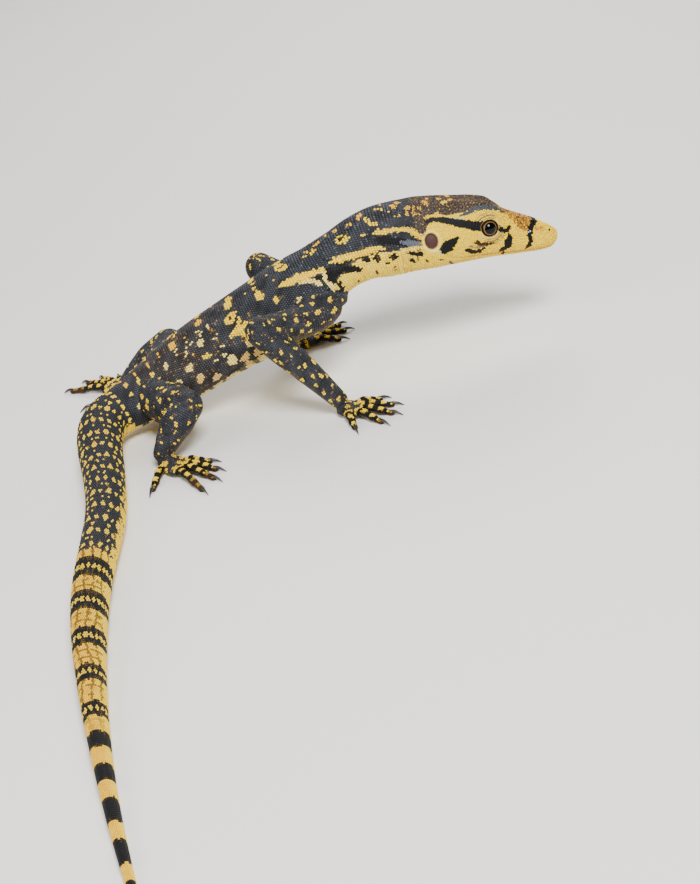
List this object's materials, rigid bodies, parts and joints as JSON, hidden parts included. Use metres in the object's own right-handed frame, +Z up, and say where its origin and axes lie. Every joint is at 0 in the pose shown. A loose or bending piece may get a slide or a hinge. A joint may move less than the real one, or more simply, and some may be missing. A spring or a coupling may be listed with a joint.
{
  "type": "water monitor lizard",
  "caption": "Life-size still model of a hatchling water monitor, forebody raised on its forelegs, head forward, long tail bent to one side along the floor.",
  "frame": {"origin": "on the floor, under the middle of the whole animal's box", "axes": "+X the way the animal faces, +Y its left, +Z up; the tail sweeps towards -Y"},
  "size_m": [0.1204, 0.2124, 0.0381],
  "materials": {
    "head_skin": "fine dry beaded scales, satin, yellow with black marks",
    "body_skin": "fine dry scales in cross rows, satin, charcoal with yellow spots",
    "tail_skin": "ringed keeled scales, satin, black and yellow bands",
    "limb_skin": "fine dry scales, satin, black with small yellow dots",
    "eye": "wet gloss, black pupil in a dark iris with a thin pale gold ring"
  },
  "bodies": {
    "root": {"head": "head_skin", "neck": "head_skin", "torso": "body_skin", "tail_base": "tail_skin", "tail_middle": "tail_skin", "tail_rear": "tail_skin", "tail_tip": "tail_skin", "upper_arm_right": "limb_skin", "forearm_right": "limb_skin", "hand_right": "limb_skin", "thigh_right": "limb_skin", "shank_right": "limb_skin", "foot_right": "limb_skin", "eye_right": "eye", "upper_arm_left": "limb_skin", "forearm_left": "limb_skin", "hand_left": "limb_skin", "thigh_left": "limb_skin", "shank_left": "limb_skin", "foot_left": "limb_skin", "eye_left": "eye"}
  },
  "joints": []
}
